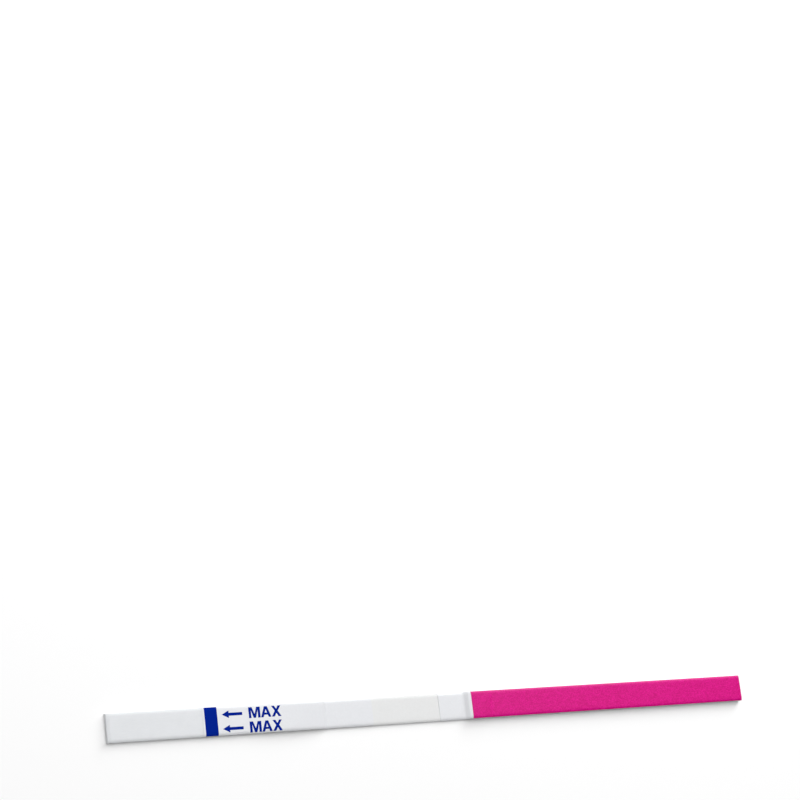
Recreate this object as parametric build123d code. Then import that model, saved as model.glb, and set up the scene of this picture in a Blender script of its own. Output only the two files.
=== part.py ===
from build123d import *
import math
import os

# A lateral flow dipstick: a narrow card carrying a train of pads under two films and a handle tape.
# Frame: origin at the middle of the card's underside, +X towards the handle end, +Z up, millimetres.
# Places along the strip are measured from the sample end and called "at".

# Strip and card
strip_length = 110.0
strip_width = 4.0
card_thickness = 0.30

# Pads and membrane, from the sample end to the handle
sample_pad_length = 31.2
sample_pad_thickness = 0.50
sample_lap = 7.9
conjugate_pad_length = 10.0
conjugate_pad_thickness = 0.25
conjugate_lap = 2.0
membrane_length = 28.7
membrane_thickness = 0.20
absorbent_lap = 2.0
absorbent_pad_thickness = 0.80

# Films, tape and print
film_thickness = 0.05
limit_film_at = 14.35
limit_film_foot = 8.4
junction_film_foot = 4.9
junction_film_lap = 3.6
tape_thickness = 0.06
tape_setback = 0.55
ink_thickness = 0.02
band_inset = 0.3
band_width = 1.95
arrow_gap = 0.7
arrow_length = 3.2
arrow_head_length = 1.1
arrow_head_width = 1.05
arrow_shaft_width = 0.42
arrow_pitch = 2.0
print_offset = -0.13

# Soft forms: where the pads ride over each other and where a film comes down off them
climb_before_lap = 2.0
climb_after_lap = 3.0
fall_length = 2.0
end_crush = 0.10
conjugate_rise = 0.6
film_lead = 0.2
film_drop = 0.5
junction_climb_before = 0.6
junction_climb_after = 0.2
tape_overhang = 0.1
tape_step = 0.4
pad_bend_radius = 30.0
film_bend_radius = 0.8
bend_share = 0.45
straight_turn = 0.003

# Crushed shoulder that the cutter leaves along both long edges, and the slope it leaves at both ends
shoulder_width = 0.30
shoulder_drop = 0.12
end_slope_length = 0.45
end_slope_drop = 0.12

# Blanks reach past what is cut from them by this much
margin = 1.0

# Levels above the card's underside
card_top = card_thickness
membrane_top = card_top + membrane_thickness
sample_top = card_top + sample_pad_thickness
conjugate_top = card_top + conjugate_pad_thickness
crest_top = conjugate_top + sample_pad_thickness
lapped_conjugate_top = membrane_top + conjugate_pad_thickness
absorbent_top = card_top + absorbent_pad_thickness
highest_top = max(crest_top, absorbent_top)

# Places along the strip, from the sample end
sample_end_at = sample_pad_length
conjugate_at = sample_end_at - sample_lap
conjugate_end_at = conjugate_at + conjugate_pad_length
membrane_at = conjugate_end_at - conjugate_lap
membrane_end_at = membrane_at + membrane_length
absorbent_at = membrane_end_at - absorbent_lap
limit_film_end_at = conjugate_end_at + limit_film_foot
film_fall_at = conjugate_end_at + film_lead
junction_film_at = absorbent_at - junction_film_foot
junction_film_end_at = absorbent_at + junction_film_lap
tape_at = absorbent_at + tape_setback
band_at = limit_film_at + band_inset
arrow_tip_at = band_at + band_width + arrow_gap

# The shoulder is an arc that meets the top face smoothly and is cut off by the strip's side
shoulder_radius = (shoulder_width**2 + shoulder_drop**2) / (2 * shoulder_drop)
blank_width = strip_width + 2 * (shoulder_radius - shoulder_width)


def slab(start_at, end_at, bottom, top, width=strip_width):
    """A plain block between two places along the strip and two levels."""
    block = Box(end_at - start_at, width, top - bottom, align=(Align.MIN, Align.CENTER, Align.MIN))
    return Pos(start_at - strip_length / 2, 0, bottom) * block


def heading(start, end):
    """The slope angle of the run between two points of a top line, in radians."""
    return math.atan2(end[1] - start[1], end[0] - start[0])


def fitting_bends(points, bends):
    """The points where a top line really turns, and bend radii that leave room on their runs."""
    kept = [points[0]]
    radii = []
    for corner, after, radius in zip(points[1:], points[2:], bends):
        turn = abs(heading(corner, after) - heading(kept[-1], corner))
        if turn < straight_turn:
            continue
        shorter_run = min(math.dist(kept[-1], corner), math.dist(corner, after))
        radii.append(min(radius, bend_share * shorter_run / math.tan(turn / 2)))
        kept.append(corner)
    return kept + [points[-1]], radii


def top_line(points, bends):
    """A line along the strip through places and levels, with its corners bent round."""
    corners, radii = fitting_bends(points, bends)
    places = [(at - strip_length / 2, level) for at, level in corners]
    return FilletPolyline(*places, radius=radii) if radii else Line(*places)


def shouldered(points, bends):
    """Everything below a top line drawn along the strip, with crushed shoulders at the long edges."""
    line = top_line(points, bends)
    first = line @ 0
    last = line @ 1
    outline = line + Polyline(last, (last.X, -margin), (first.X, -margin), first)
    blank = extrude(Plane.XZ * make_face(outline), amount=blank_width / 2, both=True)
    long_edges = [edge for edge in blank.edges() if is_long_top_edge(edge)]
    return fillet(long_edges, shoulder_radius)


def is_long_top_edge(edge):
    """True for the edges along the two sides of a blank's top face."""
    middle = edge.center()
    near = shoulder_drop / 10
    along_a_side = abs(abs(middle.Y) - blank_width / 2) < near
    return along_a_side and middle.Z > 0 and edge.bounding_box().size.X > near


def raised(form, height):
    """The same form lifted straight up."""
    return Pos(0, 0, height) * form


def sample_side():
    """The form that the limit film lies on: sample pad, its climb, its fall and the membrane."""
    points = [
        (-end_slope_length, sample_top - 2 * end_slope_drop),
        (end_slope_length, sample_top),
        (conjugate_at - climb_before_lap, sample_top),
        (conjugate_at + climb_after_lap, crest_top),
        (sample_end_at - fall_length, crest_top),
        (sample_end_at, crest_top - end_crush),
        (film_fall_at, lapped_conjugate_top),
        (film_fall_at + film_drop, membrane_top),
        (limit_film_end_at + margin, membrane_top),
    ]
    bends = [film_bend_radius] + [pad_bend_radius] * 4 + [film_bend_radius] * 2
    return shouldered(points, bends)


def handle_side():
    """The form that the junction film lies on: membrane, step and absorbent pad."""
    points = [
        (junction_film_at - margin, membrane_top),
        (absorbent_at - junction_climb_before, membrane_top),
        (absorbent_at + junction_climb_after, absorbent_top),
        (strip_length - end_slope_length, absorbent_top),
        (strip_length + end_slope_length, absorbent_top - 2 * end_slope_drop),
    ]
    return shouldered(points, [film_bend_radius] * 3)


def tape_side():
    """The form that the handle tape lies on: the junction film's end and then the pad."""
    fall_at = junction_film_end_at + tape_overhang
    points = [
        (tape_at - margin, absorbent_top + film_thickness),
        (fall_at, absorbent_top + film_thickness),
        (fall_at + tape_step, absorbent_top),
        (strip_length - end_slope_length, absorbent_top),
        (strip_length + end_slope_length, absorbent_top - 2 * end_slope_drop),
    ]
    return shouldered(points, [film_bend_radius] * 3)


def make_backing_card():
    """The stiff white card that everything is stuck to."""
    return slab(0, strip_length, 0, card_top)


def make_membrane():
    """The membrane between the pads, with its shoulders."""
    ends = [(membrane_at - margin, membrane_top), (membrane_end_at + margin, membrane_top)]
    return shouldered(ends, []) & slab(membrane_at, membrane_end_at, card_top, membrane_top)


def make_conjugate_pad(membrane):
    """The thin pad between sample pad and membrane, which rises onto the membrane's end."""
    points = [
        (conjugate_at - margin, conjugate_top),
        (membrane_at - conjugate_rise, conjugate_top),
        (membrane_at, lapped_conjugate_top),
        (conjugate_end_at + margin, lapped_conjugate_top),
    ]
    pad = shouldered(points, [film_bend_radius] * 2)
    room = slab(conjugate_at, conjugate_end_at, card_top, lapped_conjugate_top)
    return (pad & room) - membrane


def make_sample_pad(sample_form, conjugate_pad, membrane):
    """The pad that is dipped, lying on the card and then over the conjugate pad."""
    pad = sample_form & slab(0, sample_end_at, card_top, crest_top)
    return pad - conjugate_pad - membrane


def make_absorbent_pad(handle_form, membrane):
    """The thick pad that draws the liquid up, over the membrane's end and along the handle."""
    pad = handle_form & slab(absorbent_at, strip_length, card_top, absorbent_top)
    return pad - membrane


def skin(form, start_at, end_at, bottom, thickness):
    """An even skin over a form, between two places along the strip, lifted by bottom."""
    sheet = raised(form, bottom + thickness) - raised(form, bottom)
    return sheet & slab(start_at, end_at, card_top, highest_top + margin)


def arrow_outline():
    """One arrow that points to the sample end, with its tip at the origin."""
    return make_face(
        Polyline(
            (0, 0),
            (arrow_head_length, arrow_head_width / 2),
            (arrow_head_length, arrow_shaft_width / 2),
            (arrow_length, arrow_shaft_width / 2),
            (arrow_length, -arrow_shaft_width / 2),
            (arrow_head_length, -arrow_shaft_width / 2),
            (arrow_head_length, -arrow_head_width / 2),
            close=True,
        )
    )


def make_limit_arrows(sample_form):
    """Two printed arrows side by side that point to the band."""
    ink = skin(sample_form, limit_film_at, limit_film_end_at, film_thickness, ink_thickness)
    rows = [print_offset + side * arrow_pitch / 2 for side in (-1, 1)]
    arrow = extrude(arrow_outline(), amount=highest_top + margin)
    arrows = [Pos(arrow_tip_at - strip_length / 2, row, 0) * arrow for row in rows]
    return Compound([solid for each in arrows for solid in (ink & each).solids()])


def build_strip():
    """Every piece of the strip by its name."""
    sample_form = sample_side()
    handle_form = handle_side()
    membrane = make_membrane()
    conjugate_pad = make_conjugate_pad(membrane)
    band_end_at = band_at + band_width
    return {
        "backing_card": make_backing_card(),
        "membrane": membrane,
        "conjugate_pad": conjugate_pad,
        "sample_pad": make_sample_pad(sample_form, conjugate_pad, membrane),
        "absorbent_pad": make_absorbent_pad(handle_form, membrane),
        "limit_film": skin(sample_form, limit_film_at, limit_film_end_at, 0, film_thickness),
        "junction_film": skin(handle_form, junction_film_at, junction_film_end_at, 0, film_thickness),
        "handle_tape": skin(tape_side(), tape_at, strip_length, 0, tape_thickness),
        "limit_band": skin(sample_form, band_at, band_end_at, film_thickness, ink_thickness),
        "limit_arrows": make_limit_arrows(sample_form),
    }


os.makedirs("parts", exist_ok=True)
for name, piece in build_strip().items():
    export_step(piece, f"parts/{name}.step")
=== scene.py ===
"""A lateral flow dipstick: its card, pads, films, handle tape and print, dressed and lit as a studio shot.

Sizes in the classes are millimetres, and "at" is a distance from the sample end along the strip.
"""

import logging
import math
from collections.abc import Callable, Sequence
from dataclasses import dataclass, field
from enum import Enum

import bmesh
import bpy
from mathutils import Matrix, Vector


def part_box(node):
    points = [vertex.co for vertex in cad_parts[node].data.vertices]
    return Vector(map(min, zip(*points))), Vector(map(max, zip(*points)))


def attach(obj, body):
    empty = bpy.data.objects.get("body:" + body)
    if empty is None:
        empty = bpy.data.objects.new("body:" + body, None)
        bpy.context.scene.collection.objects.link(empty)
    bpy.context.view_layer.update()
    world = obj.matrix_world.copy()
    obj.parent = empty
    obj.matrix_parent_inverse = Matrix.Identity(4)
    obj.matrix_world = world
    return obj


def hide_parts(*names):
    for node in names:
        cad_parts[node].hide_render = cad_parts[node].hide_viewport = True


log = logging.getLogger("dipstick")

MM = 0.001

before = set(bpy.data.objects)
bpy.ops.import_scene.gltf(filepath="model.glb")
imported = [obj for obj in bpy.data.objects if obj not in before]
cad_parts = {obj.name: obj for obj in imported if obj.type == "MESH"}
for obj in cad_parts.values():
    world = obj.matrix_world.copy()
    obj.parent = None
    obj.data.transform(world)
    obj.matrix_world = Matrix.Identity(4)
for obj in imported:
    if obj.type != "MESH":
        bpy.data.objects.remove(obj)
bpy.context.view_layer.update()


def along(at: float) -> float:
    """The row's X, in metres, of a place given in millimetres from the sample end."""
    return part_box("backing_card")[0].x + at * MM


def start_of(node: str) -> float:
    """Where a CAD node starts, in millimetres from the sample end."""
    return (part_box(node)[0].x - along(0)) / MM


def end_of(node: str) -> float:
    """Where a CAD node ends, in millimetres from the sample end."""
    return (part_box(node)[1].x - along(0)) / MM


def top_of(node: str) -> float:
    """The highest level of a CAD node, in millimetres above the card's underside."""
    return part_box(node)[1].z / MM


@dataclass(frozen=True)
class Corner:
    """A corner of a layer's profile along the strip.

    Attributes:
        at: distance from the sample end.
        top: level of the upper face.
        bottom: level of the lower face.
        bend: radius that the corner is bent round, 0 for a sharp one.
    """

    at: float
    top: float
    bottom: float
    bend: float = 0.0

    def sheet(self, underside: float, thickness: float) -> "Corner":
        """The same corner of a sheet that lies on this profile.

        Args:
            underside: how far above the profile the sheet's lower face is.
            thickness: thickness of the sheet.

        Returns:
            The sheet's corner.
        """
        lower = self.top + underside
        return Corner(self.at, lower + thickness, lower, self.bend)


class Profile:
    """A run of corners along the strip."""

    def __init__(self, corners: Sequence[Corner]) -> None:
        """Keep the corners in order."""
        self.corners = list(corners)

    def level(self, at: float) -> float:
        """The upper level at a place, on the straight run between two corners.

        Args:
            at: the place.

        Returns:
            The level there.
        """
        for before, after in zip(self.corners, self.corners[1:]):
            if before.at <= at <= after.at:
                share = (at - before.at) / (after.at - before.at)
                return before.top + share * (after.top - before.top)
        return self.corners[-1].top

    def part(self, start: float, end: float) -> "Profile":
        """The profile between two places, with a new corner at each end.

        Args:
            start: where the part starts.
            end: where it ends.

        Returns:
            The part as a profile of its own.
        """
        base = self.corners[0].bottom
        inner = [c for c in self.corners if start < c.at < end]
        first = Corner(start, self.level(start), base)
        return Profile([first, *inner, Corner(end, self.level(end), base)])

    def stepped(self, at: float, bottom: float, seam: float = 0.02) -> "Profile":
        """The profile with its underside raised from one place on.

        Args:
            at: where the underside steps.
            bottom: level of the underside after the step.
            seam: length of the step.

        Returns:
            The profile with two more corners.
        """
        low_at, high_at = at - seam / 2, at + seam / 2
        before = [c for c in self.corners if c.at < low_at]
        after = [Corner(c.at, c.top, bottom, c.bend) for c in self.corners if c.at > high_at]
        low = Corner(low_at, self.level(low_at), self.corners[0].bottom)
        return Profile([*before, low, Corner(high_at, self.level(high_at), bottom), *after])

    def sheet(self, underside: float, thickness: float) -> "Profile":
        """The profile of a sheet that lies on this one."""
        return Profile([c.sheet(underside, thickness) for c in self.corners])


@dataclass(frozen=True)
class Strip:
    """Places and levels of the strip as the solids give them, and how soft parts ride over them."""

    width: float = (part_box("backing_card")[1].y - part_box("backing_card")[0].y) / MM
    length: float = end_of("backing_card")
    card: float = top_of("backing_card")
    membrane: float = top_of("membrane")
    conjugate_lapped: float = top_of("conjugate_pad")
    crest: float = top_of("sample_pad")
    absorbent: float = top_of("absorbent_pad")
    film: float = top_of("limit_film") - top_of("sample_pad")
    tape: float = top_of("handle_tape") - top_of("junction_film")
    climb_before: float = 2.0
    climb_after: float = 3.0
    fall: float = 2.0
    crush: float = 0.10
    film_lead: float = 0.2
    film_drop: float = 0.5
    conjugate_rise: float = 0.6
    junction_before: float = 0.6
    junction_after: float = 0.2
    tape_overhang: float = 0.1
    tape_step: float = 0.4
    end_length: float = 0.45
    end_drop: float = 0.12
    pad_bend: float = 30.0
    film_bend: float = 0.8

    @property
    def conjugate(self) -> float:
        """Level of the conjugate pad where it lies on the card."""
        return self.card + self.conjugate_lapped - self.membrane

    @property
    def sample(self) -> float:
        """Level of the sample pad where it lies on the card."""
        return self.card + self.crest - self.conjugate

    def profile(self, *corners: tuple[float, float, float]) -> Profile:
        """A profile that stands on the card, from places, levels and bend radii."""
        return Profile([Corner(at, top, self.card, bend) for at, top, bend in corners])

    def sample_line(self) -> Profile:
        """The sample pad's upper line and what follows it under the limit film."""
        conjugate_at, conjugate_end = start_of("conjugate_pad"), end_of("conjugate_pad")
        fall_at = conjugate_end + self.film_lead
        return self.profile(
            (0.0, self.sample - self.end_drop, 0.0),
            (self.end_length, self.sample, self.film_bend),
            (conjugate_at - self.climb_before, self.sample, self.pad_bend),
            (conjugate_at + self.climb_after, self.crest, self.pad_bend),
            (end_of("sample_pad") - self.fall, self.crest, self.pad_bend),
            (end_of("sample_pad"), self.crest - self.crush, self.pad_bend),
            (fall_at, self.conjugate_lapped, self.film_bend),
            (fall_at + self.film_drop, self.membrane, self.film_bend),
            (end_of("limit_film"), self.membrane, 0.0),
        )

    def conjugate_line(self) -> Profile:
        """The conjugate pad's upper line, which rises onto the membrane's end."""
        rise_end = start_of("membrane")
        return self.profile(
            (start_of("conjugate_pad"), self.conjugate, 0.0),
            (rise_end - self.conjugate_rise, self.conjugate, self.film_bend),
            (rise_end, self.conjugate_lapped, self.film_bend),
            (end_of("conjugate_pad"), self.conjugate_lapped, 0.0),
        )

    def handle_line(self) -> Profile:
        """The membrane's end, the step up and the absorbent pad."""
        pad_at = start_of("absorbent_pad")
        return self.profile(
            (start_of("junction_film"), self.membrane, 0.0),
            (pad_at - self.junction_before, self.membrane, self.film_bend),
            (pad_at + self.junction_after, self.absorbent, self.film_bend),
            (self.length - self.end_length, self.absorbent, self.film_bend),
            (self.length, self.absorbent - self.end_drop, 0.0),
        )

    def tape_line(self) -> Profile:
        """What the handle tape lies on: the junction film's end, then the pad."""
        step = end_of("junction_film") + self.tape_overhang
        return self.profile(
            (start_of("handle_tape"), self.absorbent + self.film, 0.0),
            (step, self.absorbent + self.film, self.film_bend),
            (step + self.tape_step, self.absorbent, self.film_bend),
            (self.length - self.end_length, self.absorbent, self.film_bend),
            (self.length, self.absorbent - self.end_drop, 0.0),
        )


STRIP = Strip()


class Bench:
    """Moves of hand modelling that every piece shares. Lengths here are metres."""

    cut_tolerance = 1e-7
    near = 3e-7

    @staticmethod
    def clear() -> None:
        """Leave edit mode and deselect every object."""
        if bpy.context.object and bpy.context.object.mode != "OBJECT":
            bpy.ops.object.mode_set(mode="OBJECT")
        bpy.ops.object.select_all(action="DESELECT")

    @staticmethod
    def take(piece: bpy.types.Object) -> None:
        """Make one object the active one and the only one selected."""
        Bench.clear()
        piece.select_set(True)
        bpy.context.view_layer.objects.active = piece

    @staticmethod
    def edit(piece: bpy.types.Object) -> None:
        """Open one object's mesh in edit mode."""
        Bench.take(piece)
        bpy.ops.object.mode_set(mode="EDIT")

    @staticmethod
    def settle(piece: bpy.types.Object, name: str) -> bpy.types.Object:
        """Name a new primitive and put its place into its mesh.

        Args:
            piece: the new object.
            name: its name.

        Returns:
            The same object, at the origin.
        """
        piece.name = piece.data.name = name
        Bench.take(piece)
        bpy.ops.object.transform_apply(location=True, rotation=True, scale=True)
        return piece

    @staticmethod
    def block(name: str, low: Sequence[float], high: Sequence[float]) -> bpy.types.Object:
        """Add a block between two corners and open it in edit mode.

        Args:
            name: name of the new piece.
            low: its lowest corner.
            high: its highest corner.

        Returns:
            The new object.
        """
        Bench.clear()
        middle = [(a + b) / 2 for a, b in zip(low, high)]
        size = [b - a for a, b in zip(low, high)]
        bpy.ops.mesh.primitive_cube_add(size=1.0, location=middle, scale=size)
        piece = Bench.settle(bpy.context.object, name)
        Bench.edit(piece)
        return piece

    @staticmethod
    def same(value: float, wanted: float) -> bool:
        """True if two lengths are the same for the purpose of picking."""
        return abs(value - wanted) < Bench.near

    @staticmethod
    def pick(piece: bpy.types.Object, mode: str, test: Callable[..., bool]) -> int:
        """Select the vertices, edges or faces that pass a test.

        Args:
            piece: the object in edit mode.
            mode: VERT, EDGE or FACE.
            test: tells whether one element is wanted.

        Returns:
            How many were selected.
        """
        bpy.ops.mesh.select_mode(type=mode)
        bpy.ops.mesh.select_all(action="DESELECT")
        mesh = bmesh.from_edit_mesh(piece.data)
        mesh.normal_update()
        elements = {"VERT": mesh.verts, "EDGE": mesh.edges, "FACE": mesh.faces}[mode]
        wanted = [element for element in elements if test(element)]
        for element in wanted:
            element.select_set(True)
        mesh.select_flush_mode()
        bmesh.update_edit_mesh(piece.data)
        return len(wanted)

    @staticmethod
    def cut(axis: int, where: float) -> None:
        """Cut the whole mesh along a plane that stands across one axis.

        Args:
            axis: 0 for X, 1 for Y and 2 for Z.
            where: where the plane stands on that axis.
        """
        point, normal = [0.0, 0.0, 0.0], [0.0, 0.0, 0.0]
        point[axis] = where
        normal[axis] = 1.0
        bpy.ops.mesh.select_all(action="SELECT")
        bpy.ops.mesh.bisect(plane_co=point, plane_no=normal, threshold=Bench.cut_tolerance)

    @staticmethod
    def lift(height: float) -> None:
        """Move what is selected up."""
        bpy.ops.transform.translate(value=(0.0, 0.0, height))

    @staticmethod
    def close(piece: bpy.types.Object, soft_below: float = 35.0) -> bpy.types.Object:
        """Turn all faces outwards, leave edit mode and shade the soft edges smooth.

        Args:
            piece: the object in edit mode.
            soft_below: edges that turn by less than this are soft, in degrees.

        Returns:
            The same object.
        """
        bpy.ops.mesh.select_all(action="SELECT")
        bpy.ops.mesh.normals_make_consistent(inside=False)
        Bench.take(piece)
        bpy.ops.object.shade_smooth_by_angle(angle=math.radians(soft_below))
        return piece

    @staticmethod
    def apply_modifiers(piece: bpy.types.Object) -> None:
        """Apply a piece's modifiers from first to last."""
        Bench.take(piece)
        for modifier in list(piece.modifiers):
            bpy.ops.object.modifier_apply(modifier=modifier.name)


@dataclass(frozen=True)
class Shoulder:
    """How the cutter has pressed a layer's long edges down: a crown that ends in a round shoulder.

    Attributes:
        width: width of the round shoulder.
        drop: how far the shoulder falls.
        crown_width: how far in from the side the crown starts.
        crown_drop: how far the crown falls by the side, besides the shoulder.
        steps: facets across the shoulder, and across the rest of the crown.
    """

    width: float = 0.42
    drop: float = 0.12
    crown_width: float = 1.00
    crown_drop: float = 0.025
    steps: int = 5

    def fall(self, inward: float) -> float:
        """How far the upper face has fallen at a distance in from the side."""
        crown = self.crown_drop * max(0.0, 1 - inward / self.crown_width) ** 2
        if inward >= self.width:
            return crown
        radius = (self.width**2 + self.drop**2) / (2 * self.drop)
        return crown + radius - math.sqrt(radius**2 - (self.width - inward) ** 2)

    def lines(self) -> list[float]:
        """How far in from the side each of its lines runs, the side itself first."""
        outer = [self.width * step / self.steps for step in range(self.steps)]
        rest = self.crown_width - self.width
        return outer + [self.width + rest * step / self.steps for step in range(self.steps + 1)]


@dataclass
class Layer:
    """One layer of the strip, shaped along its profile and pressed down at its long edges.

    Attributes:
        name: name of the piece.
        profile: its profile from its start to its end.
        inset: how much narrower than the card it is on each side.
        skin: True if its lower face follows its upper face, as a film's does.
        shoulder: how its long edges are pressed down.
        bend_steps: facets round each bent corner.
        bend_share: the most of its shorter run that a bend may take up.
        smallest_turn: a corner that turns by less than this is left as it is, in radians.
        cavity: how far the first block reaches above and below the card's underside.
        facing_up: a face belongs to the upper side where its normal rises by more than this.
    """

    name: str
    profile: Profile
    inset: float = 0.0
    skin: bool = False
    shoulder: Shoulder = field(default_factory=Shoulder)
    bend_steps: int = 6
    bend_share: float = 0.45
    smallest_turn: float = 0.004
    cavity: float = 5.0
    facing_up: float = 0.2

    @property
    def half(self) -> float:
        """Half the layer's width, in metres."""
        return (STRIP.width / 2 - self.inset) * MM

    def build(self) -> bpy.types.Object:
        """Model the layer from a block that is taller than the strip.

        Returns:
            The finished piece.
        """
        corners = self.profile.corners
        low = (along(corners[0].at), -self.half, -self.cavity * MM)
        high = (along(corners[-1].at), self.half, self.cavity * MM)
        piece = Bench.block(self.name, low, high)
        for corner in corners[1:-1]:
            Bench.cut(0, along(corner.at))
        self.set_levels(piece)
        self.bend_corners(piece)
        self.press_sides(piece)
        return Bench.close(piece)

    def set_levels(self, piece: bpy.types.Object) -> None:
        """Bring the block's upper and lower faces to the profile, corner by corner."""
        reach = self.cavity * MM / 2
        for corner in self.profile.corners:
            x = along(corner.at)
            Bench.pick(piece, "VERT", lambda v: Bench.same(v.co.x, x) and v.co.z > reach)
            Bench.lift((corner.top - self.cavity) * MM)
            Bench.pick(piece, "VERT", lambda v: Bench.same(v.co.x, x) and v.co.z < -reach)
            Bench.lift((corner.bottom + self.cavity) * MM)

    def bend_corners(self, piece: bpy.types.Object) -> None:
        """Bend the profile's corners round, on a skin's lower face too."""
        corners = self.profile.corners
        for before, corner, after in zip(corners, corners[1:], corners[2:]):
            reach = self.bend_reach(before, corner, after)
            if not reach:
                continue
            for level in [corner.top, corner.bottom] if self.skin else [corner.top]:
                self.bend_edge(piece, along(corner.at), level * MM, reach * MM)

    def bend_reach(self, before: Corner, corner: Corner, after: Corner) -> float:
        """How far from a corner its bend starts and ends.

        Args:
            before: the corner before it.
            corner: the corner.
            after: the corner after it.

        Returns:
            The distance, 0 where the corner isn't bent.
        """
        into = math.atan2(corner.top - before.top, corner.at - before.at)
        out = math.atan2(after.top - corner.top, after.at - corner.at)
        turn = abs(out - into)
        if not corner.bend or turn < self.smallest_turn:
            return 0.0
        shorter_run = min(corner.at - before.at, after.at - corner.at)
        return min(corner.bend * math.tan(turn / 2), self.bend_share * shorter_run)

    def bend_edge(self, piece: bpy.types.Object, x: float, z: float, reach: float) -> None:
        """Bevel the edge across the strip at one place and height, in metres.

        Args:
            piece: the object in edit mode.
            x: the edge's place along the strip.
            z: its height.
            reach: how far from the edge the bevel starts.
        """

        def across(edge: bmesh.types.BMEdge) -> bool:
            """True for the edge at that place."""
            return all(Bench.same(v.co.x, x) and Bench.same(v.co.z, z) for v in edge.verts)

        Bench.pick(piece, "EDGE", across)
        bpy.ops.mesh.bevel(offset=reach, segments=self.bend_steps, profile=0.5, affect="EDGES")

    def press_sides(self, piece: bpy.types.Object) -> None:
        """Press both long edges down, line by line."""
        lines = self.shoulder.lines()
        for inward in lines[1:]:
            for side in (-1, 1):
                Bench.cut(1, side * (self.half - inward * MM))
        for inward in lines[:-1]:
            y = self.half - inward * MM
            Bench.pick(piece, "VERT", lambda v: Bench.same(abs(v.co.y), y) and self.is_pressed(v))
            Bench.lift(-self.shoulder.fall(inward) * MM)

    def is_pressed(self, vertex: bmesh.types.BMVert) -> bool:
        """True for a vertex of the upper face, and for every vertex of a skin."""
        return self.skin or any(face.normal.z > self.facing_up for face in vertex.link_faces)


def dress(
    piece: bpy.types.Object, material: bpy.types.Material, slot: str, *nodes: str
) -> bpy.types.Object:
    """Give a finished piece its material and its place on the strip.

    Args:
        piece: the finished piece.
        material: its finish.
        slot: name of a material slot for it; not used.
        nodes: the CAD nodes that it stands for.

    Returns:
        The same piece.
    """
    piece.data.materials.clear()
    piece.data.materials.append(material)
    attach(piece, "root")
    if nodes:
        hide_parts(*nodes)
    log.info("%s: %d faces", piece.name, len(piece.data.polygons))
    return piece


class Nodes:
    """Places and joins shader nodes in one tree."""

    def __init__(self, tree: bpy.types.NodeTree) -> None:
        """Keep the tree."""
        self.tree = tree

    def add(self, kind: str, settings: dict | None = None, **inputs: object) -> bpy.types.Node:
        """Place one node.

        Args:
            kind: the node's type without its ShaderNode prefix.
            settings: the node's own options.
            inputs: values, or sockets to join, by input name with _ for a space.

        Returns:
            The node.
        """
        node = self.tree.nodes.new(f"ShaderNode{kind}")
        for option, value in (settings or {}).items():
            setattr(node, option, value)
        for name, value in inputs.items():
            self.feed(node.inputs[name.replace("_", " ")], value)
        return node

    def feed(self, socket: bpy.types.NodeSocket, value: object) -> None:
        """Give an input a value, or join it to an output."""
        if isinstance(value, bpy.types.NodeSocket):
            self.tree.links.new(value, socket)
        else:
            socket.default_value = value

    def math(self, operation: str, *values: object) -> bpy.types.NodeSocket:
        """One sum, product or other operation on numbers.

        Args:
            operation: the Math node's operation, with a ! at its end where the result is kept in 0 to 1.
            values: numbers or sockets to join.

        Returns:
            The result.
        """
        clamp = operation.endswith("!")
        node = self.tree.nodes.new("ShaderNodeMath")
        node.operation = operation.rstrip("!")
        node.use_clamp = clamp
        for socket, value in zip(node.inputs, values):
            self.feed(socket, value)
        return node.outputs[0]

    def blend(self, share: object, first: object, second: object) -> bpy.types.NodeSocket:
        """A colour between two colours.

        Args:
            share: how much of the second one there is.
            first: the first colour.
            second: the second colour.

        Returns:
            The colour.
        """
        node = self.tree.nodes.new("ShaderNodeMix")
        node.data_type = "RGBA"
        self.feed(node.inputs["Factor"], share)
        self.feed(node.inputs[6], first)
        self.feed(node.inputs[7], second)
        return node.outputs[2]

    def spread(
        self, value: object, low: float, high: float, to: tuple[float, float] = (0.0, 1.0)
    ) -> bpy.types.NodeSocket:
        """A number spread from one range to another, and kept inside it.

        Args:
            value: the number.
            low: lowest value of the first range.
            high: its highest value.
            to: lowest and highest value of the second range.

        Returns:
            The number in the second range.
        """
        node = self.add("MapRange", Value=value)
        node.inputs["From Min"].default_value = low
        node.inputs["From Max"].default_value = high
        node.inputs["To Min"].default_value = to[0]
        node.inputs["To Max"].default_value = to[1]
        return node.outputs["Result"]

    def millimetres(self) -> bpy.types.NodeSocket:
        """The place on the strip, in millimetres."""
        place = self.add("TexCoord").outputs["Object"]
        return self.add("Mapping", Vector=place, Scale=(1 / MM,) * 3).outputs["Vector"]

    def noise(self, where: object, scale: object, detail: float = 3.0) -> bpy.types.NodeSocket:
        """A cloud of a given number of lumps per millimetre."""
        return self.add("TexNoise", Vector=where, Scale=scale, Detail=detail).outputs["Fac"]


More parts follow.
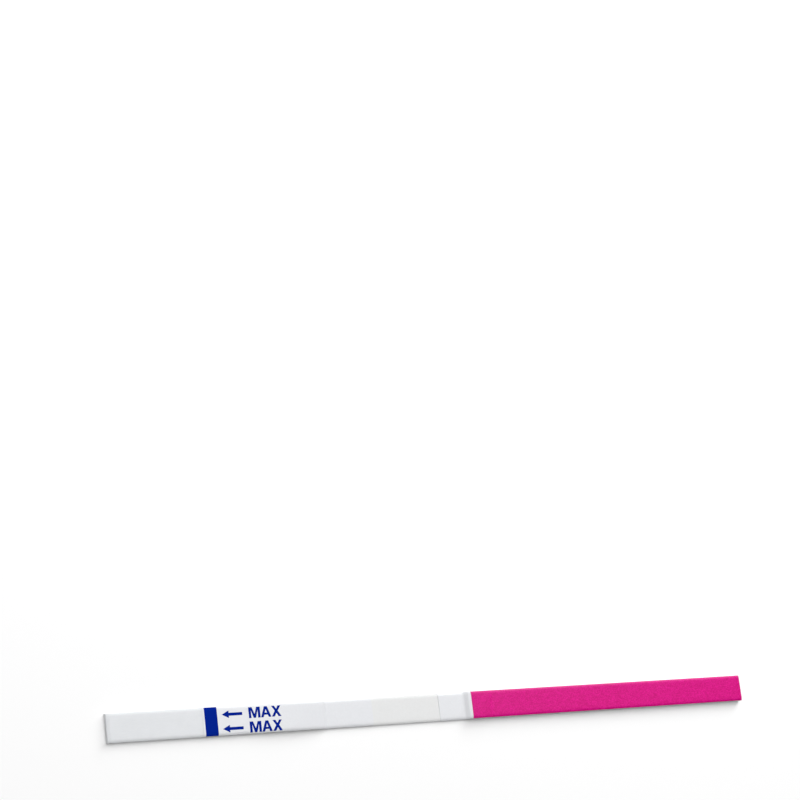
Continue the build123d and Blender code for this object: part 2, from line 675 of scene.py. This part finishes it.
class Effect:
    """A surface effect shared by several finishes, built once as a node group."""

    name = "effect"
    inputs: dict[str, float] = {}
    outputs: tuple[str, ...] = ("Height",)

    @classmethod
    def group(cls) -> bpy.types.NodeTree:
        """The effect's node group, built the first time it is asked for.

        Returns:
            The node group.
        """
        found = bpy.data.node_groups.get(cls.name)
        if found:
            return found
        tree = bpy.data.node_groups.new(cls.name, "ShaderNodeTree")
        for name, value in cls.inputs.items():
            socket = tree.interface.new_socket(name, in_out="INPUT", socket_type="NodeSocketFloat")
            socket.default_value = value
        for name in cls.outputs:
            tree.interface.new_socket(name, in_out="OUTPUT", socket_type="NodeSocketFloat")
        start = tree.nodes.new("NodeGroupInput")
        end = tree.nodes.new("NodeGroupOutput")
        made = cls.wire(Nodes(tree), start.outputs)
        for name, socket in zip(cls.outputs, made):
            tree.links.new(socket, end.inputs[name])
        return tree

    @classmethod
    def place(cls, nodes: Nodes, **inputs: object) -> bpy.types.Node:
        """Place the effect in a material.

        Args:
            nodes: the material's nodes.
            inputs: values or sockets by input name, with _ for a space.

        Returns:
            The group node.
        """
        node = nodes.tree.nodes.new("ShaderNodeGroup")
        node.node_tree = cls.group()
        for name, value in inputs.items():
            nodes.feed(node.inputs[name.replace("_", " ")], value)
        return node

    @classmethod
    def wire(cls, nodes: Nodes, given: bpy.types.NodeOutputs) -> list[bpy.types.NodeSocket]:
        """Build the effect from its inputs and give its outputs in order.

        Args:
            nodes: the group's nodes.
            given: the group's inputs, by name.

        Returns:
            The sockets that feed its outputs.
        """
        raise NotImplementedError


class LaidFibres(Effect):
    """Fine fibres that lie flat in a pad or in the paper of a label, crossing at a few angles."""

    name = "laid_fibres"
    inputs = {"Fibres per mm": 4.0, "Tangle": 0.6}
    outputs = ("Height", "Shade")
    angles = (-62.0, -17.0, 24.0, 71.0)
    slenderness = 0.16

    @classmethod
    def wire(cls, nodes: Nodes, given: bpy.types.NodeOutputs) -> list[bpy.types.NodeSocket]:
        """Lay streaks at several angles and keep the highest at each place."""
        place = nodes.millimetres()
        drift = nodes.add("TexNoise", Vector=place, Scale=1.3, Detail=2.0).outputs["Color"]
        wander = nodes.add("VectorMath", {"operation": "SCALE"}, Vector=drift, Scale=given["Tangle"])
        bent = nodes.add("VectorMath", {"operation": "ADD"})
        nodes.feed(bent.inputs[0], place)
        nodes.feed(bent.inputs[1], wander.outputs[0])
        height = None
        for number, angle in enumerate(cls.angles):
            turned = nodes.add(
                "Mapping",
                Vector=bent.outputs[0],
                Rotation=(0.0, 0.0, math.radians(angle)),
                Location=(7.3 * number, 3.1 * number, 0.0),
                Scale=(cls.slenderness, 1.0, 1.0),
            ).outputs["Vector"]
            streak = nodes.noise(turned, given["Fibres per mm"], 2.0)
            height = streak if height is None else nodes.math("MAXIMUM", height, streak)
        raised = nodes.spread(height, 0.50, 0.78)
        clumps = nodes.noise(place, 0.9, 4.0)
        # The Shade output is partly painted shade: the colour follows the fibre height, darker in the
        # hollows between fibres and lighter on their tops. The rest is random tone from clumps.
        painted_fibre_shade = nodes.math("MULTIPLY", raised, 0.6)
        clump_tone = nodes.spread(clumps, 0.3, 0.7, (0.0, 0.4))
        return [raised, nodes.math("ADD!", painted_fibre_shade, clump_tone)]


class Speckle(Effect):
    """Small lumps and pits side by side, as in a pressed or foamed sheet."""

    name = "speckle"
    inputs = {"Lumps per mm": 4.0}
    outputs = ("Height", "Mask")

    @classmethod
    def wire(cls, nodes: Nodes, given: bpy.types.NodeOutputs) -> list[bpy.types.NodeSocket]:
        """Mix rounded cells with a finer cloud."""
        place = nodes.millimetres()
        cells = nodes.add(
            "TexVoronoi", {"feature": "SMOOTH_F1"}, Vector=place, Scale=given["Lumps per mm"]
        ).outputs["Distance"]
        cloud = nodes.noise(place, given["Lumps per mm"], 4.0)
        lumps = nodes.math("SUBTRACT", cloud, nodes.math("MULTIPLY", cells, 0.45))
        return [nodes.spread(lumps, 0.0, 0.5), nodes.spread(cloud, 0.36, 0.64)]


class Waver(Effect):
    """The long gentle unevenness of a thin sheet stuck down by a roller."""

    name = "waver"
    inputs = {"Waves per mm": 0.22}
    outputs = ("Height",)

    @classmethod
    def wire(cls, nodes: Nodes, given: bpy.types.NodeOutputs) -> list[bpy.types.NodeSocket]:
        """Stretch a soft cloud along the strip."""
        place = nodes.add("Mapping", Vector=nodes.millimetres(), Scale=(1.0, 0.6, 1.0)).outputs["Vector"]
        return [nodes.noise(place, given["Waves per mm"], 2.0)]


@dataclass(frozen=True)
class Finish:
    """One surface finish, made as a material.

    Attributes:
        name: name of the material.
        colour: its main colour, linear.
        second: the colour that it varies towards.
        roughness: lowest and highest roughness.
        specular: specular level of the shader.
        relief: height of its fine relief, in millimetres.
    """

    name: str
    colour: tuple[float, float, float]
    second: tuple[float, float, float]
    roughness: tuple[float, float] = (0.5, 0.6)
    specular: float = 0.4
    relief: float = 0.01

    def material(self) -> bpy.types.Material:
        """The finish's material, made the first time it is asked for.

        Returns:
            The material.
        """
        found = bpy.data.materials.get(self.name)
        if found:
            return found
        made = bpy.data.materials.new(self.name)
        made.use_nodes = True
        shader = made.node_tree.nodes["Principled BSDF"]
        shader.inputs["Specular IOR Level"].default_value = self.specular
        self.wire(Nodes(made.node_tree), shader)
        return made

    def wire(self, nodes: Nodes, shader: bpy.types.Node) -> None:
        """Add the finish's own nodes to its material."""
        raise NotImplementedError

    def paint(self, nodes: Nodes, shader: bpy.types.Node, share: object, rough: object) -> None:
        """Vary the colour and the roughness.

        Args:
            nodes: the material's nodes.
            shader: its Principled shader.
            share: where the second colour shows.
            rough: where it is roughest.
        """
        colour = nodes.blend(share, (*self.colour, 1.0), (*self.second, 1.0))
        nodes.feed(shader.inputs["Base Color"], colour)
        nodes.feed(shader.inputs["Roughness"], nodes.spread(rough, 0.0, 1.0, self.roughness))

    def emboss(self, nodes: Nodes, shader: bpy.types.Node, height: object, depth: float) -> None:
        """Raise the surface by a height map.

        Args:
            nodes: the material's nodes.
            shader: its Principled shader.
            height: the height map.
            depth: its depth, in millimetres.
        """
        bump = nodes.add("Bump", Height=height, Distance=depth * MM, Strength=1.0)
        nodes.feed(shader.inputs["Normal"], bump.outputs["Normal"])


@dataclass(frozen=True)
class Fleece(Finish):
    """Pad material of loose fibres."""

    fibres: float = 4.0

    def wire(self, nodes: Nodes, shader: bpy.types.Node) -> None:
        """Lay fibres over the pad, with painted shade in the hollows between them."""
        laid = LaidFibres.place(nodes, Fibres_per_mm=self.fibres).outputs
        # The colour mixes random clump tone with painted shade, darker between the raised fibres and
        # lighter on their tops.
        self.paint(nodes, shader, laid["Shade"], laid["Height"])
        self.emboss(nodes, shader, laid["Height"], self.relief)


@dataclass(frozen=True)
class Sheet(Finish):
    """A smooth sheet: card, membrane or film, wavered and finely speckled."""

    lumps: float = 3.0
    waves: float = 0.22
    wave_height: float = 0.01

    def wire(self, nodes: Nodes, shader: bpy.types.Node) -> None:
        """Waver the sheet and speckle it finely."""
        speckle = Speckle.place(nodes, Lumps_per_mm=self.lumps).outputs
        wave = Waver.place(nodes, Waves_per_mm=self.waves).outputs["Height"]
        self.paint(nodes, shader, speckle["Mask"], wave)
        fine = nodes.math("MULTIPLY", speckle["Height"], self.relief)
        height = nodes.math("ADD", fine, nodes.math("MULTIPLY", wave, self.wave_height))
        self.emboss(nodes, shader, height, 1.0)


@dataclass(frozen=True)
class Tape(Finish):
    """Printed label tape with the pad's fibres pressed through it."""

    lumps: float = 5.0
    fibres: float = 4.2

    def wire(self, nodes: Nodes, shader: bpy.types.Node) -> None:
        """Mottle the print, partly with painted shade between the fibres, and press lumps and fibres into
        it.
        """
        speckle = Speckle.place(nodes, Lumps_per_mm=self.lumps).outputs
        laid = LaidFibres.place(nodes, Fibres_per_mm=self.fibres, Tangle=0.9).outputs
        # Random mottle mixed with painted shade from the fibres: darker between them, lighter on their
        # tops.
        mottle_and_painted_shade = nodes.math("MULTIPLY", nodes.math("ADD", speckle["Mask"], laid["Shade"]), 0.5)
        self.paint(nodes, shader, nodes.spread(mottle_and_painted_shade, 0.2, 0.8), speckle["Mask"])
        height = nodes.math("ADD", speckle["Height"], nodes.math("MULTIPLY", laid["Height"], 0.7))
        self.emboss(nodes, shader, height, self.relief)


@dataclass(frozen=True)
class Ink(Finish):
    """Printing ink on the limit film, thin at a few pinholes."""

    def wire(self, nodes: Nodes, shader: bpy.types.Node) -> None:
        """Let the film show faintly through where the ink is thin."""
        place = nodes.millimetres()
        thin = nodes.spread(nodes.noise(place, 7.0, 4.0), 0.60, 0.80)
        self.paint(nodes, shader, thin, nodes.noise(place, 3.0))
        self.emboss(nodes, shader, nodes.noise(place, 5.0), self.relief)


class Finishes(Enum):
    """Every finish of the strip."""

    CARD = Sheet("card_vinyl", (0.72, 0.73, 0.74), (0.70, 0.71, 0.72), (0.30, 0.40), 0.5, 0.002)
    MEMBRANE = Sheet("membrane_matt", (0.755, 0.76, 0.76), (0.74, 0.745, 0.745), (0.72, 0.80), 0.25, 0.002)
    CONJUGATE = Fleece("conjugate_fleece", (0.66, 0.64, 0.61), (0.74, 0.72, 0.69), (0.7, 0.8), 0.2, 0.012)
    SAMPLE = Fleece("sample_fleece", (0.71, 0.725, 0.745), (0.75, 0.765, 0.785), (0.55, 0.7), 0.3, 0.004)
    ABSORBENT = Fleece("absorbent_fleece", (0.66, 0.66, 0.655), (0.76, 0.76, 0.755), (0.7, 0.85), 0.2, 0.02)
    FILM = Sheet("film_white", (0.745, 0.755, 0.78), (0.73, 0.74, 0.765), (0.30, 0.42), 0.5, 0.002)
    TAPE = Tape("tape_magenta", (0.56, 0.0, 0.17), (0.74, 0.006, 0.27), (0.36, 0.50), 0.25, 0.010)
    INK = Ink("ink_blue", (0.0, 0.0145, 0.25), (0.0, 0.03, 0.33), (0.6, 0.7), 0.02, 0.003)

    @property
    def material(self) -> bpy.types.Material:
        """The finish's material."""
        return self.value.material()


@dataclass
class Backing:
    """The stiff card under everything."""

    rounding: Shoulder = field(
        default_factory=lambda: Shoulder(width=0.05, drop=0.035, crown_width=0.06, crown_drop=0.0, steps=3)
    )

    def make(self) -> None:
        """Build the card with its cut edges a little rounded."""
        line = STRIP.profile((0.0, STRIP.card, 0.0), (STRIP.length, STRIP.card, 0.0))
        corners = [Corner(c.at, c.top, 0.0) for c in line.corners]
        card = Layer("backing_vinyl", Profile(corners), shoulder=self.rounding).build()
        dress(card, Finishes.CARD.material, "card", "backing_card")


@dataclass
class SampleEnd:
    """The pads that take up the sample, and the film over them."""

    pad_inset: float = 0.003
    conjugate_inset: float = 0.006
    film_gap: float = 0.001

    def make(self) -> None:
        """Build the conjugate pad, the sample pad and the limit film."""
        self.make_conjugate_pad()
        self.make_sample_pad()
        self.make_film()

    def make_conjugate_pad(self) -> None:
        """The thin pad that rises onto the membrane."""
        line = STRIP.conjugate_line().stepped(start_of("membrane"), STRIP.membrane)
        pad = Layer("conjugate_fibre_pad", line, inset=self.conjugate_inset).build()
        dress(pad, Finishes.CONJUGATE.material, "conjugate_fibre", "conjugate_pad")

    def make_sample_pad(self) -> None:
        """The long pad that is dipped, with its climb over the conjugate pad."""
        line = STRIP.sample_line().part(0.0, end_of("sample_pad"))
        line = line.stepped(start_of("conjugate_pad"), STRIP.conjugate)
        pad = Layer("sample_fibre_pad", line, inset=self.pad_inset).build()
        dress(pad, Finishes.SAMPLE.material, "sample_fibre", "sample_pad")

    def make_film(self) -> None:
        """The film that holds the pads down and carries the print."""
        line = STRIP.sample_line().part(start_of("limit_film"), end_of("limit_film"))
        sheet = line.sheet(self.film_gap, STRIP.film - self.film_gap)
        film = Layer("limit_film_sheet", sheet, inset=0.001, skin=True).build()
        dress(film, Finishes.FILM.material, "clear_film", "limit_film")


@dataclass
class ReadingWindow:
    """The bare membrane where the result shows, and the film over its end."""

    membrane_inset: float = 0.004
    film_gap: float = 0.001

    def make(self) -> None:
        """Build the membrane and the junction film."""
        ends = [(start_of("membrane"), STRIP.membrane, 0.0), (end_of("membrane"), STRIP.membrane, 0.0)]
        membrane = Layer("reading_membrane", STRIP.profile(*ends), inset=self.membrane_inset).build()
        dress(membrane, Finishes.MEMBRANE.material, "membrane", "membrane")
        line = STRIP.handle_line().part(start_of("junction_film"), end_of("junction_film"))
        sheet = line.sheet(self.film_gap, STRIP.film - self.film_gap)
        film = Layer("junction_film_sheet", sheet, inset=0.001, skin=True).build()
        dress(film, Finishes.FILM.material, "clear_film", "junction_film")


@dataclass
class Handle:
    """The absorbent pad and the coloured tape that make the grip."""

    pad_inset: float = 0.002
    tape_gap: float = 0.001

    def make(self) -> None:
        """Build the absorbent pad and the handle tape."""
        line = STRIP.handle_line().part(start_of("absorbent_pad"), STRIP.length)
        corners = [Corner(c.at, c.top, STRIP.membrane, c.bend) for c in line.corners]
        line = Profile(corners).stepped(end_of("membrane"), STRIP.card)
        pad = Layer("absorbent_fibre_pad", line, inset=self.pad_inset).build()
        dress(pad, Finishes.ABSORBENT.material, "absorbent_fibre", "absorbent_pad")
        sheet = STRIP.tape_line().sheet(self.tape_gap, STRIP.tape - self.tape_gap)
        tape = Layer("handle_tape_sheet", sheet, skin=True).build()
        dress(tape, Finishes.TAPE.material, "handle_tape", "handle_tape")


LETTER_OUTLINES = {
    "M": [
        [(0, 0), (0, 1), (0.30, 1), (0.5, 0.36), (0.70, 1), (1, 1), (1, 0)]
        + [(0.79, 0), (0.79, 0.72), (0.60, 0), (0.40, 0), (0.21, 0.72), (0.21, 0)],
    ],
    "A": [
        [(0, 0), (0.36, 1), (0.64, 1), (1, 0), (0.75, 0), (0.67, 0.22), (0.33, 0.22), (0.25, 0)],
        [(0.39, 0.41), (0.5, 0.74), (0.61, 0.41)],
    ],
    "X": [
        [(0, 0), (0.345, 0.52), (0.02, 1), (0.31, 1), (0.5, 0.70), (0.69, 1), (0.98, 1)]
        + [(0.655, 0.52), (1, 0), (0.70, 0), (0.5, 0.32), (0.30, 0)],
    ],
}


@dataclass
class LimitPrint:
    """The band, arrows and words printed on the limit film.

    Attributes:
        thickness: how far the ink stands over the film.
        high: a level above the whole strip, where the print is drawn before it is laid down.
        grid: spacing of the cuts that let the print follow the film.
        band_margin: how far from the strip's sides the band ends.
        offset: how far the arrows are off the strip's middle line.
        pitch: from the one row of print to the other.
        arrow_head: length and width of an arrow's head.
        arrow_shaft: width of its shaft.
        word: the word in each row.
        letter_places: where each letter starts and ends along the strip.
        letter_height: height of the capitals.
        letter_middle: how far the words are off the strip's middle line.
    """

    thickness: float = 0.008
    high: float = 3.0
    grid: float = 0.15
    band_margin: float = 0.002
    offset: float = -0.13
    pitch: float = 2.0
    arrow_head: tuple[float, float] = (1.1, 1.05)
    arrow_shaft: float = 0.42
    word: str = "MAX"
    letter_places: tuple[tuple[float, float], ...] = ((21.50, 23.28), (23.36, 24.94), (25.02, 26.52))
    letter_height: float = 1.52
    letter_middle: float = -0.095

    def make(self) -> None:
        """Print the band, both arrows and both words."""
        ink = Finishes.INK.material
        dress(self.make_band(), ink, "blue_ink", "limit_band")
        for number, side in enumerate((1, -1), start=1):
            row = self.offset + side * self.pitch / 2
            arrow = self.make_arrow(f"limit_arrow_{number}", row)
            nodes = ("limit_arrows",) if number == 1 else ()
            dress(arrow, ink, "blue_ink", *nodes)
            middle = self.letter_middle + side * self.pitch / 2
            dress(self.make_word(f"limit_word_{number}", middle), ink, "blue_ink")

    def flat(self, name: str, at: tuple[float, float], across: tuple[float, float]) -> bpy.types.Object:
        """Add a flat piece above the strip and open it in edit mode.

        Args:
            name: name of the piece.
            at: where it starts and ends along the strip.
            across: its lowest and highest place across the strip.

        Returns:
            The new object.
        """
        Bench.clear()
        middle = (along((at[0] + at[1]) / 2), (across[0] + across[1]) / 2 * MM, self.high * MM)
        bpy.ops.mesh.primitive_plane_add(size=1.0, location=middle)
        bpy.context.object.scale = ((at[1] - at[0]) * MM, (across[1] - across[0]) * MM, 1.0)
        piece = Bench.settle(bpy.context.object, name)
        Bench.edit(piece)
        return piece

    def lay_down(self, piece: bpy.types.Object) -> bpy.types.Object:
        """Cut a flat print into small pieces, drop it onto the film and give the ink its thickness.

        Args:
            piece: the flat print.

        Returns:
            The finished print.
        """
        Bench.edit(piece)
        lows, highs = self.extent(piece)
        for axis in (0, 1):
            steps = math.floor((highs[axis] - lows[axis]) / (self.grid * MM))
            for step in range(1, steps + 1):
                Bench.cut(axis, lows[axis] + step * self.grid * MM)
        Bench.take(piece)
        drop = piece.modifiers.new("drop", "SHRINKWRAP")
        drop.target = bpy.data.objects["limit_film_sheet"]
        drop.wrap_method = "PROJECT"
        drop.use_project_z = True
        drop.use_negative_direction = True
        drop.use_positive_direction = False
        film = piece.modifiers.new("film", "SOLIDIFY")
        film.thickness = self.thickness * MM
        film.offset = 1.0
        Bench.apply_modifiers(piece)
        Bench.edit(piece)
        return Bench.close(piece)

    @staticmethod
    def extent(piece: bpy.types.Object) -> tuple[list[float], list[float]]:
        """The reach of a mesh in edit mode, in metres.

        Args:
            piece: the object in edit mode.

        Returns:
            Its lowest and its highest X, Y and Z.
        """
        places = [v.co for v in bmesh.from_edit_mesh(piece.data).verts]
        lows = [min(place[axis] for place in places) for axis in range(3)]
        highs = [max(place[axis] for place in places) for axis in range(3)]
        return lows, highs

    def make_band(self) -> bpy.types.Object:
        """The band across the film.

        Returns:
            The finished band.
        """
        side = STRIP.width / 2 - self.band_margin
        band = self.flat("limit_band_ink", (start_of("limit_band"), end_of("limit_band")), (-side, side))
        return self.lay_down(band)

    def make_arrow(self, name: str, row: float) -> bpy.types.Object:
        """One arrow that points to the band.

        Args:
            name: name of the piece.
            row: the arrow's middle across the strip.

        Returns:
            The finished arrow.
        """
        tip, end = start_of("limit_arrows"), end_of("limit_arrows")
        neck = tip + self.arrow_head[0]
        side = self.arrow_shaft / 2
        arrow = self.flat(name, (neck, end), (row - side, row + side))
        Bench.pick(arrow, "EDGE", lambda e: all(Bench.same(v.co.x, along(neck)) for v in e.verts))
        bpy.ops.mesh.extrude_edges_move()
        bpy.ops.transform.resize(
            value=(1.0, self.arrow_head[1] / self.arrow_shaft, 1.0),
            center_override=(along(neck), row * MM, self.high * MM),
        )
        bpy.ops.mesh.extrude_edges_move(
            TRANSFORM_OT_translate={"value": (-self.arrow_head[0] * MM, 0.0, 0.0)}
        )
        bpy.ops.mesh.merge(type="CENTER")
        return self.lay_down(arrow)

    def make_word(self, name: str, middle: float) -> bpy.types.Object:
        """One row of lettering.

        Args:
            name: name of the piece.
            middle: the letters' middle across the strip.

        Returns:
            The finished row.
        """
        letters = [
            self.make_letter(f"{name}_{number}", letter, places, middle)
            for number, (letter, places) in enumerate(zip(self.word, self.letter_places))
        ]
        Bench.clear()
        for letter in letters:
            letter.select_set(True)
        bpy.context.view_layer.objects.active = letters[0]
        bpy.ops.object.join()
        word = letters[0]
        word.name = word.data.name = name
        return self.lay_down(word)

    def make_letter(
        self, name: str, letter: str, places: tuple[float, float], middle: float
    ) -> bpy.types.Object:
        """One bold capital, drawn above its place on the strip.

        Args:
            name: name of the piece.
            letter: the capital.
            places: where it starts and ends along the strip.
            middle: its middle across the strip.

        Returns:
            The letter as a flat mesh.
        """
        width, low = places[1] - places[0], middle - self.letter_height / 2
        drawing = bpy.data.curves.new(name, "CURVE")
        drawing.dimensions = "2D"
        drawing.fill_mode = "BOTH"
        for outline in LETTER_OUTLINES[letter]:
            spline = drawing.splines.new("POLY")
            spline.points.add(len(outline) - 1)
            spline.use_cyclic_u = True
            for point, (right, up) in zip(spline.points, outline):
                x = along(places[0] + right * width)
                point.co = (x, (low + up * self.letter_height) * MM, 0.0, 1.0)
        piece = bpy.data.objects.new(name, drawing)
        bpy.context.scene.collection.objects.link(piece)
        Bench.take(piece)
        bpy.ops.object.convert(target="MESH")
        piece = bpy.context.object
        piece.location.z = self.high * MM
        return Bench.settle(piece, name)


@dataclass(frozen=True)
class Softbox:
    """A soft light that faces the strip.

    Attributes:
        name: its name.
        place: its middle, in metres.
        size: its sides, in metres.
        power: its power, in watts.
    """

    name: str
    place: tuple[float, float, float]
    size: tuple[float, float]
    power: float

    def make(self) -> None:
        """Hang the light up and turn it to the strip."""
        Bench.clear()
        bpy.ops.object.light_add(type="AREA", location=self.place)
        box = bpy.context.object
        box.name = self.name
        box.data.shape = "RECTANGLE"
        box.data.size, box.data.size_y = self.size
        box.data.energy = self.power
        box.rotation_euler = Vector(self.place).to_track_quat("Z", "Y").to_euler()


@dataclass
class Studio:
    """The camera, the floor and the light.

    Attributes:
        camera_place: the camera's place.
        azimuth, elevation, roll: the camera's turn, in degrees.
        lens: its focal length on a 36 mm sensor.
        floor_size: the floor's sides, in metres.
        floor_gap: how far the floor lies below the card, in metres.
        sky: strength of the light from all round.
        backdrop: how bright the room looks behind the floor.
        glow_start, glow_end: where the floor's painted glow starts and where it is full.
        glow: how bright the painted glow is there.
        floor_white: how white the floor is.
        softboxes: the lights.
    """

    camera_place: tuple[float, float, float] = (-175.895, -29.473, 276.326)
    azimuth: float = -66.277
    elevation: float = 55.474
    roll: float = 63.164
    lens: float = 99.0
    floor_size: float = 3.0
    floor_gap: float = 2e-6
    sky: float = 0.06
    backdrop: float = 0.93
    glow_start: float = 0.15
    glow_end: float = 0.80
    glow: float = 0.75
    floor_white: float = 0.95
    softboxes: tuple[Softbox, ...] = (
        Softbox("overhead", (-0.06, 0.16, 0.55), (0.75, 0.60), 3.75),
        Softbox("behind", (0.22, 0.28, 0.18), (0.28, 0.20), 0.98),
    )

    def make(self) -> None:
        """Set up the whole studio."""
        self.make_camera()
        self.make_floor()
        self.make_light()
        bpy.context.scene.view_settings.view_transform = "Standard"

    def make_camera(self) -> None:
        """The camera at the photograph's viewing angle."""
        a, e, r = (math.radians(angle) for angle in (self.azimuth, self.elevation, self.roll))
        ahead = Vector((-math.sin(a) * math.cos(e), math.cos(a) * math.cos(e), -math.sin(e)))
        level = Vector((math.cos(a), math.sin(a), 0.0))
        above = level.cross(ahead)
        right = math.cos(r) * level + math.sin(r) * above
        up = math.cos(r) * above - math.sin(r) * level
        Bench.clear()
        bpy.ops.object.camera_add()
        camera = bpy.context.object
        camera.name = "camera"
        turn = Matrix((right, up, -ahead)).transposed().to_4x4()
        camera.matrix_world = Matrix.Translation(Vector(self.camera_place) * MM) @ turn
        camera.data.lens = self.lens
        camera.data.clip_start = 0.01
        camera.data.clip_end = 10.0
        bpy.context.scene.camera = camera

    def make_floor(self) -> None:
        """A plain pale floor with a painted glow: its emission grows with distance from the strip."""
        Bench.clear()
        bpy.ops.mesh.primitive_plane_add(size=self.floor_size, location=(0.0, 0.0, -self.floor_gap))
        floor = Bench.settle(bpy.context.object, "floor")
        made = bpy.data.materials.new("floor_white")
        made.use_nodes = True
        shader = made.node_tree.nodes["Principled BSDF"]
        shader.inputs["Base Color"].default_value = (*(self.floor_white,) * 3, 1.0)
        shader.inputs["Roughness"].default_value = 0.55
        shader.inputs["Specular IOR Level"].default_value = 0.3
        nodes = Nodes(made.node_tree)
        # Painted glow: the floor's emission is nil near the strip and grows farther out, brightening the
        # floor without a lamp.
        place = nodes.add("TexCoord").outputs["Object"]
        distance = nodes.add("VectorMath", {"operation": "LENGTH"}, Vector=place).outputs["Value"]
        glow = nodes.spread(distance, self.glow_start, self.glow_end, (0.0, self.glow))
        lit = nodes.blend(glow, (0.0, 0.0, 0.0, 1.0), (1.0, 1.0, 1.0, 1.0))
        nodes.feed(shader.inputs["Emission Color"], lit)
        shader.inputs["Emission Strength"].default_value = 1.0
        floor.data.materials.append(made)

    def make_light(self) -> None:
        """The softboxes, and weak light from all round."""
        world = bpy.data.worlds.new("room")
        bpy.context.scene.world = world
        world.use_nodes = True
        nodes = Nodes(world.node_tree)
        background = world.node_tree.nodes["Background"]
        seen = nodes.add("LightPath").outputs["Is Camera Ray"]
        background.inputs["Color"].default_value = (1.0, 1.0, 1.0, 1.0)
        nodes.feed(background.inputs["Strength"], nodes.spread(seen, 0.0, 1.0, (self.sky, self.backdrop)))
        for softbox in self.softboxes:
            softbox.make()


def main() -> None:
    """Build the strip from the card up, then the studio."""
    logging.basicConfig(level=logging.INFO, format="%(name)s: %(message)s")
    for assembly in (Backing(), ReadingWindow(), SampleEnd(), Handle(), LimitPrint(), Studio()):
        log.info("making %s", type(assembly).__name__)
        assembly.make()


if __name__ == "__main__":
    main()
